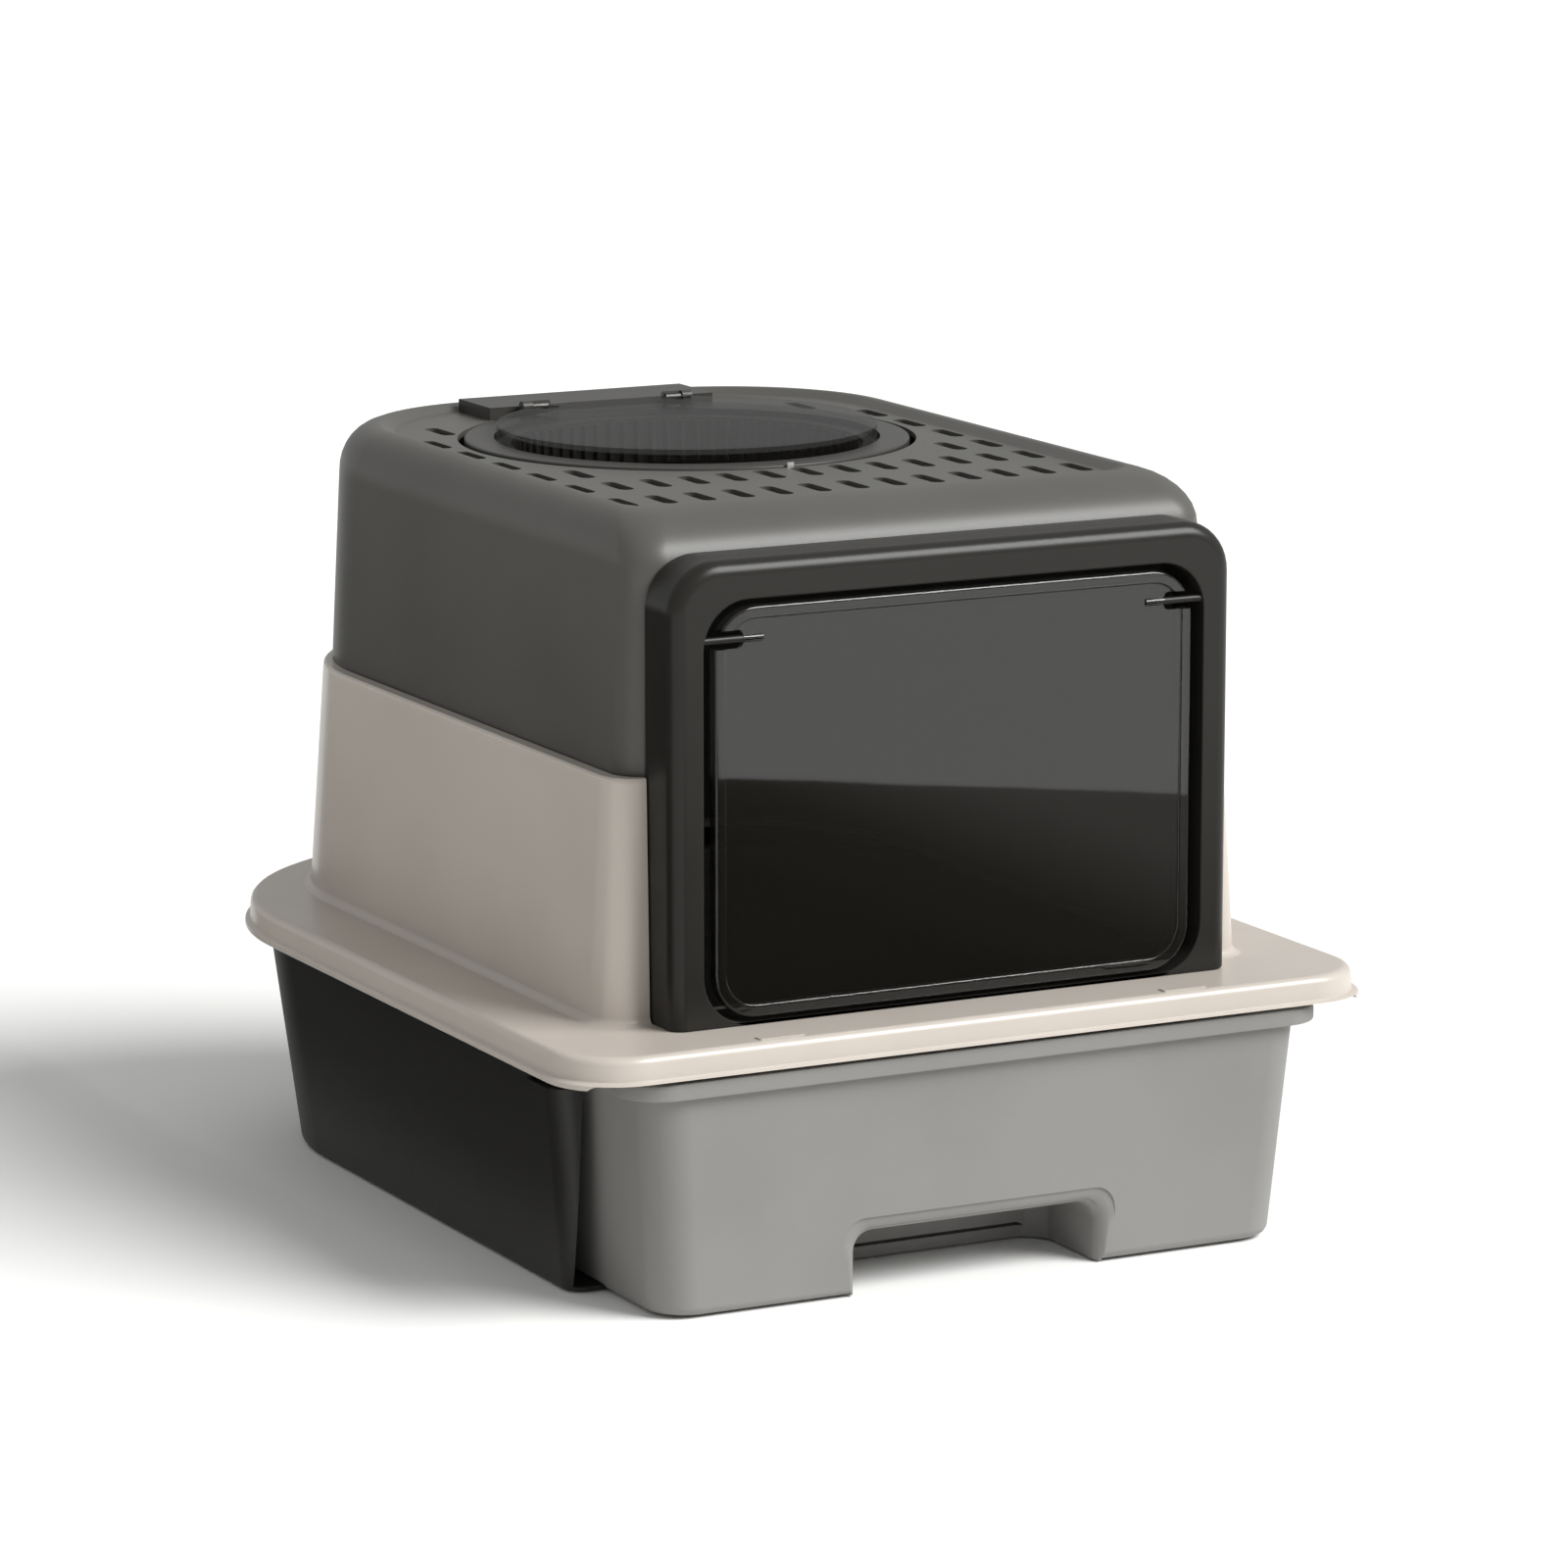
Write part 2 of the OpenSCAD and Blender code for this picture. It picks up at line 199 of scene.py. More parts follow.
def finish_piece(piece, body, slot, material, *cad, angle=32, soften=0.0):
    """Soften the last sharp edges, shade, paint, and put the piece on its body in its node's place."""
    if soften:
        apply(piece, "BEVEL", width=soften * MM, segments=2, limit_method="ANGLE",
              angle_limit=radians(40), use_clamp_overlap=True)
    only(piece)
    bpy.ops.object.shade_smooth_by_angle(angle=radians(angle))
    apply(piece, "WEIGHTED_NORMAL", keep_sharp=True, weight=100)
    piece.data.materials.clear()
    piece.data.materials.append(material)
    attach(piece, body)
    if cad:
        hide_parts(*cad)
    return piece


# ---------------------------------------------------------------- finishes

def linear(hex_value, alpha=1.0):
    """sRGB hex to the linear colour that shaders take."""
    parts = [int(hex_value[i:i + 2], 16) / 255 for i in (1, 3, 5)]
    return (*[p / 12.92 if p <= 0.04045 else ((p + 0.055) / 1.055) ** 2.4 for p in parts], alpha)


def add(tree, kind, links=(), **settings):
    """Add a node, set its sockets or properties, and link (from, socket) into its inputs."""
    node = tree.nodes.new("ShaderNode" + kind)
    for name, value in settings.items():
        socket = name.replace("_", " ")
        if socket in node.inputs:
            node.inputs[socket].default_value = value
        else:
            setattr(node, name, value)
    for source, outlet, inlet in links:
        tree.links.new(source.outputs[outlet], node.inputs[inlet])
    return node


def new_material(name):
    material = bpy.data.materials.new(name)
    material.use_nodes = True
    material.node_tree.nodes.clear()
    return material, material.node_tree


def moulded_plastic(name, light, dark, roughness, grain_mm, grain_height, coat=0.0, gloss=0.5):
    """Injection-moulded polypropylene or ABS: one colour all through, faintly uneven, with a fine spark-eroded
    grain that breaks up its highlights."""
    material, tree = new_material(name)
    place = add(tree, "TexCoord")
    clouds = add(tree, "TexNoise", [(place, "Object", "Vector")],
                 Scale=1 / (90 * MM), Detail=3.0, Roughness=0.5)
    tone = add(tree, "ValToRGB", [(clouds, "Fac", "Fac")])
    tone.color_ramp.elements[0].position = 0.35
    tone.color_ramp.elements[0].color = linear(dark)
    tone.color_ramp.elements[1].position = 0.65
    tone.color_ramp.elements[1].color = linear(light)
    grain = add(tree, "TexNoise", [(place, "Object", "Vector")],
                Scale=1 / (grain_mm * MM), Detail=2.0, Roughness=0.6)
    shine = add(tree, "MapRange", [(grain, "Fac", "Value")])
    shine.inputs["To Min"].default_value = roughness - 0.05
    shine.inputs["To Max"].default_value = roughness + 0.05
    bump = add(tree, "Bump", [(grain, "Fac", "Height")], Strength=grain_height, Distance=0.0002)
    skin = add(tree, "BsdfPrincipled", [(tone, "Color", "Base Color"), (shine, "Result", "Roughness"),
                                       (bump, "Normal", "Normal")])
    skin.inputs["IOR"].default_value = 1.49
    skin.inputs["Specular IOR Level"].default_value = gloss
    skin.inputs["Coat Weight"].default_value = coat
    skin.inputs["Coat Roughness"].default_value = 0.12
    add(tree, "OutputMaterial", [(skin, "BSDF", "Surface")])
    return material


def smoke_clear(name, tint, roughness, clear, gloss):
    """Smoke-tinted polystyrene: glossy, seen through darkly."""
    material, tree = new_material(name)
    place = add(tree, "TexCoord")
    ripple = add(tree, "TexNoise", [(place, "Object", "Vector")], Scale=1 / (60 * MM), Detail=1.0)
    bump = add(tree, "Bump", [(ripple, "Fac", "Height")], Strength=0.02, Distance=0.001)
    body = add(tree, "BsdfPrincipled", [(bump, "Normal", "Normal")])
    body.inputs["Base Color"].default_value = linear(tint)
    body.inputs["Roughness"].default_value = roughness
    body.inputs["IOR"].default_value = 1.59
    body.inputs["Specular IOR Level"].default_value = gloss
    body.inputs["Alpha"].default_value = 1 - clear
    add(tree, "OutputMaterial", [(body, "BSDF", "Surface")])
    return material


# Black polypropylene, injection moulded: a deep satin black whose fine grain keeps its highlights broad.
tub_black = moulded_plastic("moulded_black_polypropylene", "#201f1c", "#1d1c19", 0.5, 0.9, 0.25)

# Grey polypropylene, injection moulded: flat, slightly waxy mid grey, the least glossy of the shells.
drawer_grey = moulded_plastic("moulded_grey_polypropylene", "#838280", "#7e7d7a", 0.5, 0.9, 0.25, gloss=0.35)

# Warm grey ABS, moulded in a polished tool: smooth, with a thin clear shine along its round edges.
frame_beige = moulded_plastic("moulded_warm_grey_abs", "#bab2a9", "#b6aea5", 0.34, 1.2, 0.1, coat=0.15)

# Dark grey ABS with a spark-eroded grain: satin, so that its round shoulders shade softly.
hood_grey = moulded_plastic("moulded_dark_grey_abs", "#4f4e4a", "#4b4a46", 0.42, 0.9, 0.2)

# Charcoal ABS: nearly black, a little smoother than the hood, so that the entry frame stands out from it.
bezel_grey = moulded_plastic("moulded_charcoal_abs", "#22211e", "#1f1e1b", 0.3, 0.9, 0.12, gloss=0.25)

# Mid grey ABS for the ring and the hinge block: darker than the roof round it, with a low shine.
ring_grey = moulded_plastic("moulded_mid_grey_abs", "#3a3936", "#363532", 0.4, 0.9, 0.15, gloss=0.35)

# Smoke-tinted polystyrene with a mirror finish: dark, and it reflects the room sharply.
door_smoke = smoke_clear("smoke_clear_polystyrene", "#161512", 0.02, 0.3, 0.5)

# The same plastic, thinner and duller: the ring's ribbed neck shows through it.
lid_smoke = smoke_clear("smoke_clear_lid_polystyrene", "#141310", 0.08, 0.68, 0.05)

# Charcoal acetal: slippery and dense, nearly black with a small tight highlight.
pin_grey = moulded_plastic("moulded_charcoal_acetal", "#1f1e1c", "#1b1a18", 0.35, 0.6, 0.05, gloss=0.3)


def wire_steel(name, colour):
    """Drawn stainless steel wire: fine lines along it, which stretch its highlight."""
    material, tree = new_material(name)
    place = add(tree, "TexCoord")
    stretch = add(tree, "Mapping", [(place, "Object", "Vector")])
    stretch.inputs["Scale"].default_value = (0.05, 1, 1)
    lines = add(tree, "TexNoise", [(stretch, "Vector", "Vector")], Scale=1 / (0.3 * MM), Detail=2.0)
    shine = add(tree, "MapRange", [(lines, "Fac", "Value")])
    shine.inputs["To Min"].default_value = 0.35
    shine.inputs["To Max"].default_value = 0.5
    skin = add(tree, "BsdfPrincipled", [(shine, "Result", "Roughness")])
    skin.inputs["Base Color"].default_value = linear(colour)
    skin.inputs["Metallic"].default_value = 1.0
    add(tree, "OutputMaterial", [(skin, "BSDF", "Surface")])
    return material


# Dulled steel for the lid's hinge pins: a grey metal line with a soft highlight.
steel = wire_steel("drawn_steel_dulled", "#6c6b67")

# Polished steel for the small catch: it reads as one bright spot.
bright = wire_steel("drawn_stainless_steel", "#e2e1dd")


# ---------------------------------------------------------------- sizes, in millimetres, from the frame

def size_of(node):
    low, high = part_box(node)
    return low / MM, high / MM


WALL = 3
GAP = 0.3
tub_high = size_of("base_tub")[1]
drawer_low, drawer_high = size_of("litter_drawer")
frame_low, frame_high = size_of("collar_frame")
hood_low, hood_high = size_of("hood_shell")
bezel_low, bezel_high = size_of("entry_bezel")
door_low, door_high = size_of("front_door")
ring_low, ring_high = size_of("top_ring")
lid_high = size_of("top_lid")[1]

DECK_Z = hood_low.z - GAP
TUB_DRAFT = 15.6
TUB_TOP = tub_high.z
ROOF_Z = hood_high.z - 4
RING_Y = (ring_low.y + ring_high.y) / 2

RECESS_HALF = 67.4
RECESS_TOP = 31
RECESS_BACK = -187
RECESS_EDGE_R = 10
RECESS_CORNER = 19

SLOT_PITCH = 21.3
SLOT_ROWS = (-113, -64, -20, 22, 64, 106, 148)
SLOT_HALF_W = 4
SLOT_HALF_LEN = 14


# ---------------------------------------------------------------- tub and drawer

def make_tub():
    half, front, back = 191, -181, 236
    tub = round_sheet("tub", half - 3, front + 3, back - 3, 10, 110, 0)
    lean = TUB_DRAFT / TUB_TOP
    for z, tuck in ((0.9, 1), (3, 0), (TUB_TOP, 0)):
        raise_to(half - tuck + lean * z, front - 0.09 * z + tuck, back - tuck + lean * z, z)
    bpy.ops.mesh.delete(type="FACE")
    bpy.ops.object.mode_set(mode="OBJECT")
    apply(tub, "SOLIDIFY", thickness=WALL * MM, offset=-1, use_even_offset=True)
    cut(tub, block("tub_mouth", (-188, front - 40, WALL), (188, front + 20, TUB_TOP + 40)))
    cut(tub, block("tub_front_top", (-230, front - 40, 105.5), (230, front + 20, TUB_TOP + 40)))
    return finish_piece(tub, "tub", "tub_black", tub_black, "base_tub", soften=0.6)


def make_drawer():
    half, front, back, foot = 173.4, -247, 222, drawer_low.z
    height, rim_half, rim_front, rim_back, rim_top = 112, 192.7, -259.3, 241, drawer_high.z
    lean = 8.8 / height
    drawer = round_sheet("drawer", half - 5, front + 5, back - 5, 19, 100, foot)
    for z, tuck in ((0.7, 2.4), (1.8, 1), (3.6, 0.2), (5, 0), (height - 2, 0)):
        raise_to(half - tuck + lean * z, front + tuck - 0.9 * lean * z, back - tuck + lean * z, foot + z)
    # the rim turns outwards over the tub's front edges, with a round outer edge
    span = rim_half - half - 8.8
    for share, z in ((0.04, height - 0.6), (0.14, height), (0.97, height), (1, height + 1), (1, rim_top - 2),
                     (0.93, rim_top - 0.6), (0.8, rim_top)):
        raise_to(half + 8.8 + share * span, front - 7.9 - share * 4.4, back + 8.8 + share * 10.2, z)
    tidy_normals(drawer)
    floor = 2 * WALL + 0.5
    inside = round_sheet("inside", half - 7, front + 8, back - 7, 16, 98, floor)
    for z, tuck in ((1.2, 4.2), (4, 3), (rim_top + 10, 3)):
        raise_to(half - tuck + lean * z, front + tuck - 0.9 * lean * z, back - tuck + lean * z, floor + z)
    tidy_normals(inside)
    cut(drawer, inside)
    cut(drawer, recess_tool("pocket", WALL, foot, -245.4, flare=False), "UNION")
    cut(drawer, recess_tool("recess", 0, -30, -300, flare=True))
    cut(drawer, block("step", (-230, -183, -5), (230, 260, WALL + 0.5)))
    return finish_piece(drawer, "drawer", "drawer_grey", drawer_grey, "litter_drawer", soften=0.8)


def recess_tool(name, grow, bottom, front, flare):
    """The finger recess as a solid: round top corners, round inner corners, and a mouth that flares out."""
    half, top, back = RECESS_HALF + grow, RECESS_TOP + grow, RECESS_BACK + grow
    tool = block(name, (-half, front, -50), (half, back, top), RECESS_EDGE_R, 6)
    plan = block("plan", (-half - 1, back - 40, bottom), (half + 1, back + 1, top + 5), 0)
    bpy.ops.object.mode_set(mode="EDIT")
    pick("EDGE", lambda c: c.y > back and abs(c.x) > half)
    bpy.ops.mesh.bevel(offset=RECESS_CORNER * MM, segments=6, affect="EDGES")
    pick("FACE", lambda c: c.y < back - 39)
    bpy.ops.transform.translate(value=(0, (front - back + 39) * MM, 0))
    bpy.ops.object.mode_set(mode="OBJECT")
    cut(tool, plan, "INTERSECT")
    tidy_normals(tool)
    if flare:
        widen_mouth(tool)
    return tool


def widen_mouth(tool):
    """Slice the tool near the drawer's front and spread its front end, so that the recess meets it roundly."""
    start, reach, steps = -240, 8.5, 5
    bpy.ops.object.mode_set(mode="EDIT")
    for i in range(steps + 1):
        bpy.ops.mesh.select_all(action="SELECT")
        cut_y = start - reach * sin(radians(90 * i / steps)) - 0.02
        bpy.ops.mesh.bisect(plane_co=(0, cut_y * MM, 0), plane_no=(0, 1, 0))
    for i in range(1, steps + 1):
        a = radians(90 * i / steps)
        cut_y = start - reach * sin(a) - 0.02
        more = reach * (1 - cos(a))
        if i == steps:
            pick("VERT", lambda c: c.y < cut_y + 0.01)
        else:
            pick("VERT", lambda c: abs(c.y - cut_y) < 0.01)
        spread = (1 + more / RECESS_HALF, 1, 1 + more / RECESS_TOP)
        bpy.ops.transform.resize(value=spread, center_override=(0, 0, 0))
    bpy.ops.object.mode_set(mode="OBJECT")


# ---------------------------------------------------------------- collar frame

def make_collar():
    half, front, back = frame_high.x, frame_low.y, frame_high.y
    skirt_z, front_skirt_z = frame_low.z, 122.3
    deck = round_sheet("collar", half - 0.6, front + 0.6, back - 0.6, 36, 150, skirt_z)
    for out, z in ((0, skirt_z + 0.6), (0, skirt_z + 2.6), (-0.5, skirt_z + 3.2), (-2.2, skirt_z + 3.9),
                   (-2.4, skirt_z + 4.6), (-2.6, DECK_Z - 4.2), (-3.1, DECK_Z - 2.2), (-4.2, DECK_Z - 0.8),
                   (-6, DECK_Z)):
        raise_to(half + out, front - out * 1.3, back + out, z)
    bpy.ops.object.mode_set(mode="OBJECT")
    cut(deck, make_prism("under_deck", half - 6, front + 7, back - 6, 33, 146, skirt_z - 5, DECK_Z - WALL))
    cut(deck, make_prism("floor_hole", 158, -180.4, 230.3, 20, 96, DECK_Z - 20, DECK_Z + 20))
    # the front edge of the skirt sits a little higher than its sides
    step = block("front_skirt", (-215, front - 20, skirt_z - 10), (215, front + 70, front_skirt_z))
    bpy.ops.object.mode_set(mode="EDIT")
    pick("EDGE", lambda c: c.z > front_skirt_z - 0.1 and abs(c.x) > 214)
    bpy.ops.mesh.bevel(offset=5 * MM, segments=5, affect="EDGES")
    bpy.ops.object.mode_set(mode="OBJECT")
    cut(deck, step)
    pad = block("pad", (-12, front + 8, DECK_Z - 1), (12, front + 14, DECK_Z + 0.8), 1, 3, "Z")
    pads = [copy_of(pad, (x, 0)) for x in (-112, 112)]
    bpy.data.objects.remove(pad, do_unlink=True)
    collar = join("collar", deck, make_collar_wall(), *pads)
    return finish_piece(collar, "frame", "frame_beige", frame_beige, "collar_frame", soften=0.5)


def make_prism(name, half_w, front, back, front_r, back_r, z0, z1):
    piece = round_sheet(name, half_w, front, back, front_r, back_r, z0)
    raise_to(half_w, front, back, z1)
    bpy.ops.mesh.select_all(action="SELECT")
    bpy.ops.mesh.normals_make_consistent(inside=False)
    bpy.ops.object.mode_set(mode="OBJECT")
    return piece


def make_collar_wall():
    half, front, back, top, lean = 180, -198.6, 252.8, frame_high.z, 7
    rise = top - DECK_Z
    wall = round_sheet("collar_wall", half + 4, front - 4, back + 4, 18, 124, DECK_Z - 0.2)
    for out, z in ((2, 0.5), (0.7, 1.8), (0, 4)):
        raise_to(half + out, front - out, back + out, DECK_Z + z)
    for out, z in ((-lean + 0.15, rise - 3), (-lean - 0.3, rise - 1), (-lean - 1.3, rise)):
        raise_to(half + out, front - out * 0.4, back + out * 0.9, DECK_Z + z)
    bpy.ops.object.mode_set(mode="OBJECT")
    inside = round_sheet("inside", 176.5, -193.2, 249, 17, 112, DECK_Z - 4)
    raise_to(165.4, -193.2, 243.1, top + 3)
    bpy.ops.mesh.select_all(action="SELECT")
    bpy.ops.mesh.normals_make_consistent(inside=False)
    bpy.ops.object.mode_set(mode="OBJECT")
    gap_half = bezel_high.x + 0.6
    cut(wall, block("entry_gap", (-gap_half, -240, DECK_Z - 20), (gap_half, -150, top + 20)))
    cut(wall, inside)
    return wall


# ---------------------------------------------------------------- hood and entry frame

def make_hood():
    half, front, back, top = hood_high.x, hood_low.y, hood_high.y, hood_high.z
    hood = round_sheet("hood", half, front, back, 19, 104, hood_low.z)
    raise_to(half, front, back, 256)
    steps = 8
    for i in range(steps + 1):
        a = radians(90 * i / steps)
        side_in = 4 + 19 * (1 - cos(a))
        raise_to(half - side_in, front + 38 * (1 - cos(a)), back - side_in, top - 25 + 25 * sin(a))
    # a soft crest, then a shallow slope down to the sunken roof
    for more, z in ((1.2, top - 0.25), (2.6, top - 0.9), (7.0, ROOF_Z + 0.7), (8.0, ROOF_Z + 0.2),
                    (9.2, ROOF_Z)):
        raise_to(half - 23 - more, front + 38 + more, back - 23 - more * 0.6, z)
    pick("FACE", lambda c: abs(c.z - hood_low.z) < 0.05)
    bpy.ops.mesh.delete(type="FACE")
    bpy.ops.object.mode_set(mode="OBJECT")
    apply(hood, "SOLIDIFY", thickness=WALL * MM, offset=-1, use_even_offset=False)
    cut(hood, bar("ring_hole", (0, RING_Y, ROOF_Z - 20), (0, RING_Y, ROOF_Z + 20), 119.7, "Z", 128))
    cut(hood, vent_cutter())
    cut(hood, block("doorway_back", (-146, front - 50, -20), (146, front + 50, 352), 20))
    return finish_piece(hood, "hood", "hood_grey", hood_grey, "hood_shell")


def vent_cutter():
    """Rows of round-ended slots, left out round the ring, the hinge block and the roof's edge."""
    half_w, half_len = SLOT_HALF_W, SLOT_HALF_LEN
    slot = block("slot", (-half_w, -half_len, ROOF_Z - 12), (half_w, half_len, ROOF_Z + 12),
                 half_w - 0.05, 5, "Z")
    slots = []
    for i in range(-6, 7):
        for y in SLOT_ROWS:
            x = i * SLOT_PITCH
            past_ring = Vector((x, max(abs(y - RING_Y) - half_len, 0))).length > 120.9
            past_edge = Vector((max(abs(x) - 44, 0), max(y - 120, 0))).length < 85
            past_block = abs(x) > 71 or y < 153
            if past_ring and past_edge and past_block:
                slots.append(copy_of(slot, (x, y)))
    bpy.data.objects.remove(slot, do_unlink=True)
    return join("vents", *slots)


def make_bezel():
    half, top, front, back = bezel_high.x, bezel_high.z, bezel_low.y, bezel_high.y
    bezel = block("bezel", (-half, front, -60), (half, back, top), 26, 10)
    bpy.ops.object.mode_set(mode="EDIT")
    round_edges(8, 7, lambda c: c.y < front + 0.1)
    bpy.ops.object.mode_set(mode="OBJECT")
    cut(bezel, block("below", (-230, front - 50, -100), (230, back + 50, bezel_low.z)))
    cut(bezel, block("doorway", (-138.2, front - 50, bezel_low.z + 1.2), (138.2, back + 50, 344), 24, 10))
    return finish_piece(bezel, "hood", "bezel_grey", bezel_grey, "entry_bezel", soften=1.0)


# ---------------------------------------------------------------- swing door

def make_door():
    """A clear plate with a raised bead round it, notched for its pins."""
    half, z0, z1, y0 = door_high.x, door_low.z, door_high.z, -222.6
    pivot_y, pivot_z, bead = -220.6, 325, 5.5
    door = block("door", (-half, y0, z0), (half, y0 + 6, z1), 22.5, 10)
    bpy.ops.object.mode_set(mode="EDIT")
    pick("EDGE", lambda c: c.y < y0 + 0.1)
    bpy.ops.mesh.bevel(offset=1.6 * MM, segments=4, affect="EDGES")
    bpy.ops.object.mode_set(mode="OBJECT")
    for face, depth in ((y0, 1.2), (y0 + 6, 2.2)):
        low_y, high_y = sorted((face + (-5 if face == y0 else 5), face + (depth if face == y0 else -depth)))
        field = block("field", (-half + bead, low_y, z0 + bead), (half - bead, high_y, z1 - bead), 17, 10)
        bpy.ops.object.mode_set(mode="EDIT")
        inner = high_y if face == y0 else low_y
        pick("EDGE", lambda c: abs(c.y - inner) < 0.1)
        bpy.ops.mesh.bevel(offset=0.9 * MM, segments=3, affect="EDGES")
        bpy.ops.object.mode_set(mode="OBJECT")
        cut(door, field)
    for side in (-1, 1):
        x0, x1 = sorted((side * 116.3, side * 140))
        cut(door, block("notch", (x0, y0 - 5, pivot_z - 4.5), (x1, y0 + 15, pivot_z + 4.5), 3))
        x0, x1 = sorted((side * 106, side * 116.6))
        cut(door, bar("barrel", (x0, pivot_y, pivot_z), (x1, pivot_y, pivot_z), 2), "UNION")
        x0, x1 = sorted((side * 109, side * 125))
        cut(door, bar("bore", (x0, pivot_y, pivot_z), (x1, pivot_y, pivot_z), 1.85))
    return finish_piece(door, "door", "smoke_clear", door_smoke, "front_door", soften=0.3)


# ---------------------------------------------------------------- ring and lid

def make_ring():
    """The ring, its seat and its ribbed neck: a short tube closed by steps in and out."""
    outer, seat, bore = 116.2, 100.8, 92
    top, seat_z, foot = ring_high.z, 374.2, ring_low.z
    ring = bar("ring", (0, RING_Y, ROOF_Z - 3), (0, RING_Y, top), outer, "Z", 160)
    bpy.ops.object.mode_set(mode="EDIT")
    round_edges(1.2, 4, lambda c: c.z > top - 0.05)
    pick("FACE", lambda c: c.z > top - 0.05)
    squeeze_to(seat, 0)
    squeeze_to(seat, seat_z - top)
    squeeze_to(bore, 0)
    squeeze_to(bore, foot - seat_z)
    squeeze_to(bore + WALL, 0)
    squeeze_to(bore + WALL, ROOF_Z - 3 - foot)
    # both round faces at the bottom go, so that the opening is open, and a flat rim joins their edges
    pick("FACE", lambda c: abs(c.z - ROOF_Z + 3) < 0.05)
    bpy.ops.mesh.delete(type="FACE")
    pick("EDGE", lambda c: abs(c.z - ROOF_Z + 3) < 0.05)
    bpy.ops.mesh.bridge_edge_loops()
    bpy.ops.object.mode_set(mode="OBJECT")
    rib = block("rib", (bore - 2.2, -1.3, foot + 1), (bore + 0.5, 1.3, seat_z - 1.5), 0.8, 2, "Z")
    count = 72
    ribs = [copy_of(rib, (0, RING_Y), 2 * pi * i / count) for i in range(count)]
    bpy.data.objects.remove(rib, do_unlink=True)
    ring = join("ring", ring, *ribs)
    return finish_piece(ring, "hood", "ring_grey", ring_grey, "top_ring")


def squeeze_to(r, rise):
    """Extrude the selected round face to a new radius and height."""
    low, high = picked_box()
    bpy.ops.mesh.extrude_region_move()
    scale = r / ((high.x - low.x) / 2)
    bpy.ops.transform.resize(value=(scale, scale, 1), center_override=(0, RING_Y * MM, low.z * MM))
    bpy.ops.transform.translate(value=(0, 0, rise * MM))


def make_lid():
    """A shallow clear cap: a plate with a skirt, and two knuckles on short arms at the back."""
    r, top, skirt_z, hinge_y, pivot_z = lid_high.x, 384.6, 375, 168, 383.5
    lid = bar("lid", (0, RING_Y, skirt_z), (0, RING_Y, top), r, "Z", 160)
    cut(lid, bar("hollow", (0, RING_Y, skirt_z - 5), (0, RING_Y, top - WALL), r - 2, "Z", 160))
    cut(lid, block("behind", (-120, hinge_y, 300), (120, hinge_y + 100, 450)))
    cut(lid, block("skirt_gap", (-30, RING_Y + 60, skirt_z - 5), (30, hinge_y + 9, top - WALL)))
    for side in (-1, 1):
        x0, x1 = sorted((side * 34, side * 44))
        arm = block("arm", (x0, hinge_y - 14, pivot_z - 2), (x1, hinge_y, pivot_z + 1.9), 1.2, 3)
        cut(arm, bar("knuckle", (x0, hinge_y, pivot_z), (x1, hinge_y, pivot_z), 3.2), "UNION")
        cut(lid, arm, "UNION")
    return finish_piece(lid, "lid", "smoke_clear", lid_smoke, "top_lid", soften=0.6)


def dress_cad():
    """The small CAD pieces keep their shape and take a finish."""
    for name, material in (("lid_hinge_block", ring_grey),
                           ("door_pin_left", pin_grey), ("door_pin_right", pin_grey),
                           ("lid_pin_left", steel), ("lid_pin_right", steel), ("lid_catch", bright)):
        node = nodes[name]
        node.data.materials.clear()
        node.data.materials.append(material)


# ---------------------------------------------------------------- floor, light and camera

def make_stage():
    nothing_selected()
    bpy.ops.mesh.primitive_plane_add(size=30, location=(0, 0, -0.0005))
    floor = bpy.context.object
    floor.name = "floor"
    material, tree = new_material("pale_floor")
    skin = add(tree, "BsdfPrincipled")
    skin.inputs["Base Color"].default_value = linear("#f2f2f0")
    skin.inputs["Roughness"].default_value = 0.9
    add(tree, "OutputMaterial", [(skin, "BSDF", "Surface")])
    floor.data.materials.append(material)


def glow(name, hex_value, strength):
    """A plain studio card: one even light."""
    material, tree = new_material(name)
    light = add(tree, "Emission", Strength=strength)
    light.inputs["Color"].default_value = linear(hex_value)
    add(tree, "OutputMaterial", [(light, "Emission", "Surface")])
    return material


def fade_across(material, start, end):
    """A card that grows lighter from left to right, so that the door's dark half does too."""
    tree = material.node_tree
    place = add(tree, "TexCoord")
    across = add(tree, "SeparateXYZ", [(place, "Object", "Vector")])
    share = add(tree, "MapRange", [(across, "X", "Value")])
    share.inputs["From Min"].default_value = start
    share.inputs["From Max"].default_value = end
    tone = add(tree, "ValToRGB", [(share, "Result", "Fac")])
    tone.color_ramp.elements[0].color = linear("#1c1c1b")
    tone.color_ramp.elements[1].color = linear("#c4c3bf")
    middle = tone.color_ramp.elements.new(0.45)
    middle.color = linear("#5a5955")
    light = next(node for node in tree.nodes if node.type == "EMISSION")
    tree.links.new(tone.outputs["Color"], light.inputs["Color"])


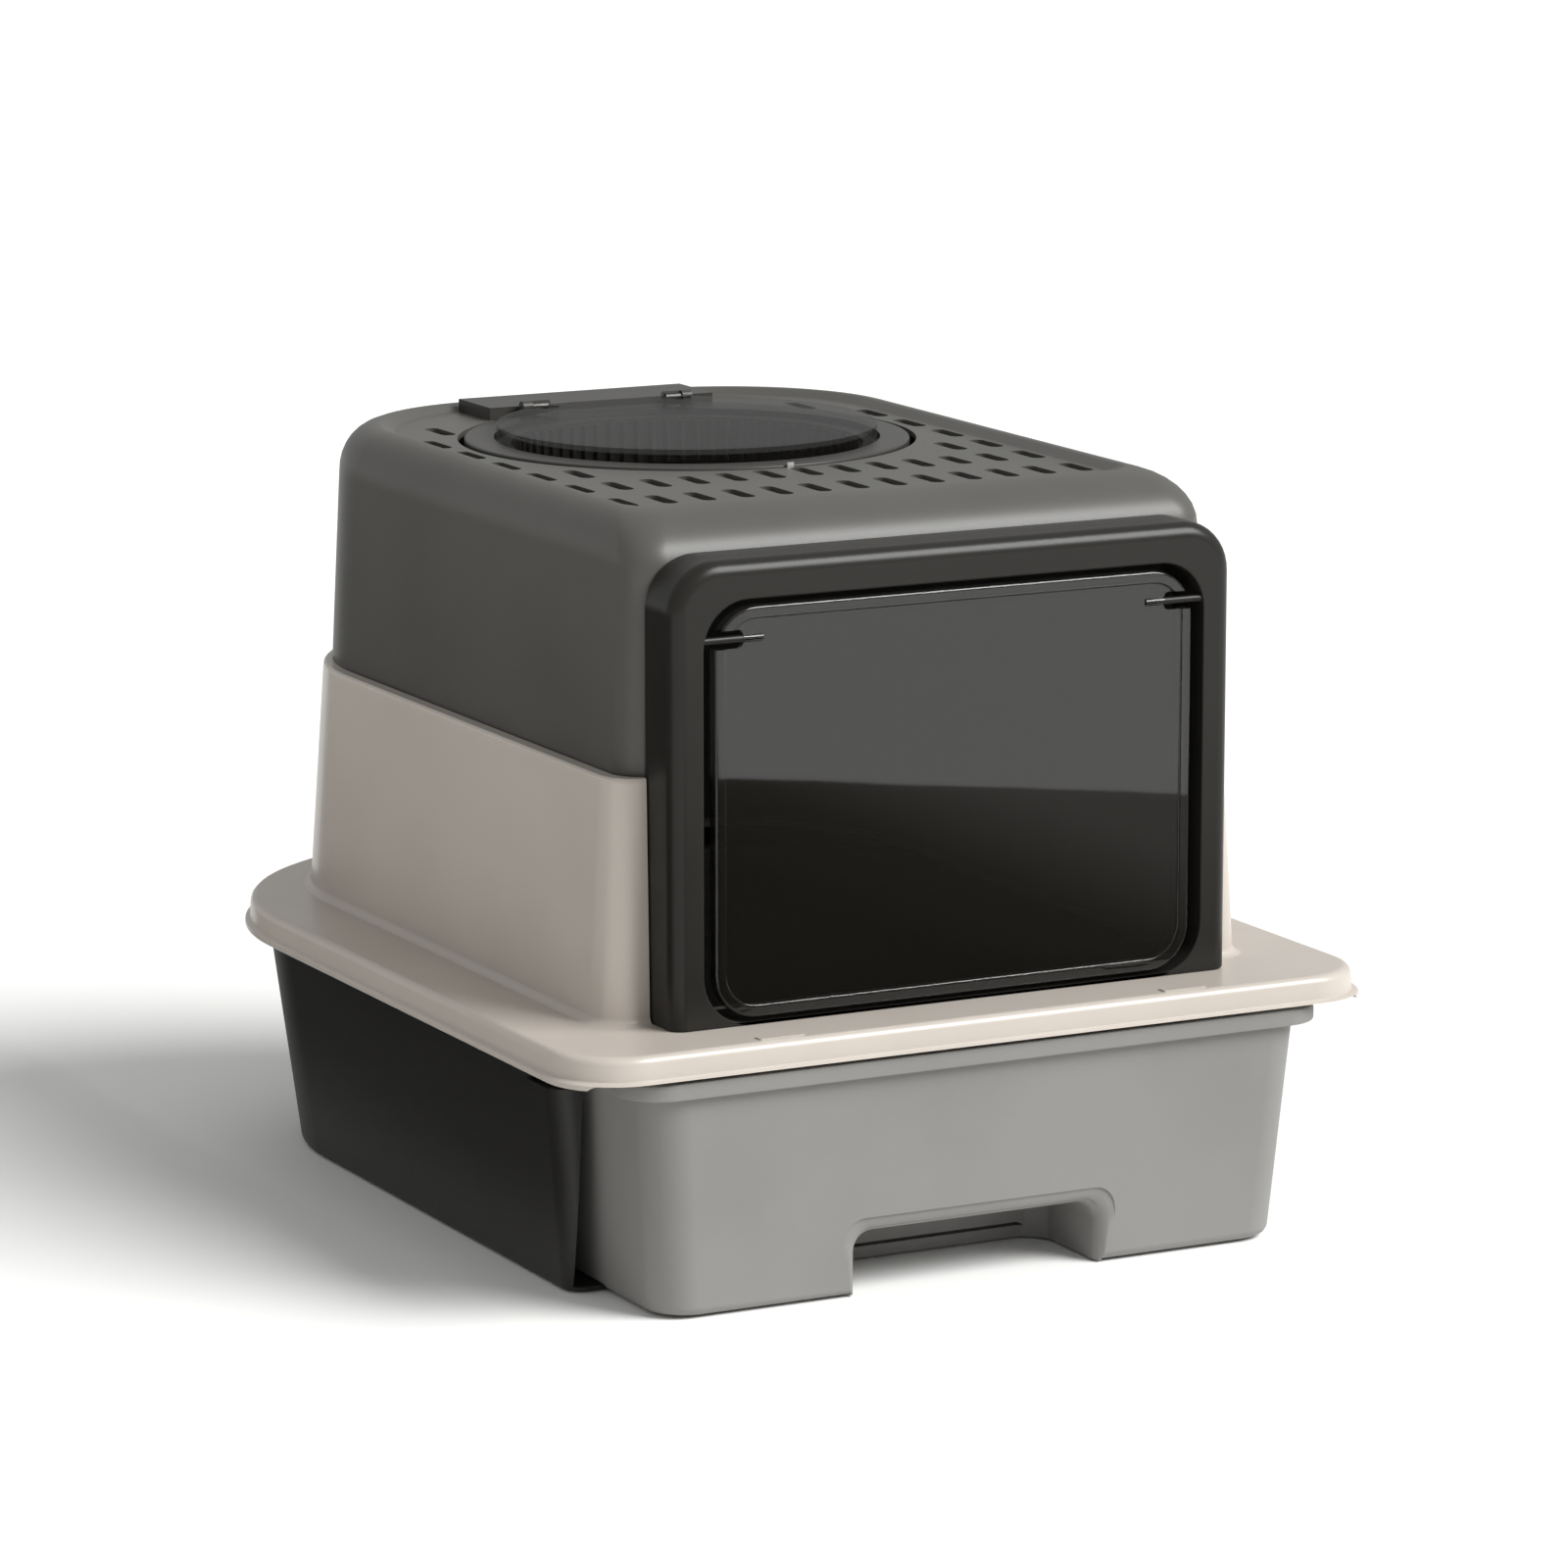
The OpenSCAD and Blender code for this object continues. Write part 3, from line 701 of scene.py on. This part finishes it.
def card(name, corners, material):
    """A stage card that only reflections see; its far edge may be turned a little."""
    nothing_selected()
    bpy.ops.mesh.primitive_plane_add(size=1, location=(0, 0, 0))
    sheet = bpy.context.object
    sheet.name = name
    for vertex, place in zip(sheet.data.vertices, corners):
        vertex.co = place
    sheet.data.materials.append(material)
    sheet.visible_camera = False
    sheet.visible_diffuse = False
    sheet.visible_shadow = False
    sheet.visible_transmission = False
    return sheet


def make_cards():
    """The front lower card is mirrored in the lower half of the door, the bright one in its upper half."""
    dark = glow("dark_card", "#101010", 1.0)
    shade = glow("side_card", "#101010", 1.0)
    bright = glow("bright_card", "#ffffff", 1.95)
    z = 0.001
    near, far_l, far_r, end = -0.45, -1.876, -0.533, -3.6
    fade_across(dark, 0.34, 0.62)
    card("front_dark", ((-0.2, near, z), (1.6, near, z), (-0.2, far_l, z), (1.6, far_r, z)), dark)
    card("front_bright", ((-0.2, far_l, z), (1.6, far_r, z), (-0.2, end, z), (1.6, end, z)), bright)
    card("side_dark", ((-4.0, -0.3, z), (-0.24, -0.3, z), (-4.0, 5.0, z), (-0.24, 5.0, z)), shade)


def make_lights():
    world = bpy.data.worlds.new("studio")
    bpy.context.scene.world = world
    world.use_nodes = True
    world.node_tree.nodes["Background"].inputs["Color"].default_value = (1, 1, 1, 1)
    world.node_tree.nodes["Background"].inputs["Strength"].default_value = 0.5
    light = bpy.data.lights.new("key", "SUN")
    light.energy = 4.0
    light.angle = radians(35)
    lamp = bpy.data.objects.new("key", light)
    bpy.context.scene.collection.objects.link(lamp)
    lamp.rotation_euler = Vector((-0.5, 0.55, -0.67)).to_track_quat("-Z", "Y").to_euler()


def make_camera():
    """A long lens, a little above the box and to the left of its front."""
    azimuth, elevation = radians(-27.35), radians(11.21)
    back = Vector((sin(azimuth) * cos(elevation), -cos(azimuth) * cos(elevation), sin(elevation)))
    camera = bpy.data.objects.new("camera", bpy.data.cameras.new("camera"))
    bpy.context.scene.collection.objects.link(camera)
    camera.data.sensor_width = 36
    camera.data.lens = 154.1
    camera.location = (-1.5497, -3.0348, 0.880)
    camera.rotation_euler = (-back).to_track_quat("-Z", "Y").to_euler()
    bpy.context.scene.camera = camera


make_camera()
make_tub()
make_drawer()
make_collar()
make_hood()
make_bezel()
make_door()
make_ring()
make_lid()
dress_cad()
make_stage()
make_cards()
make_lights()
bpy.context.scene.view_settings.view_transform = "Standard"
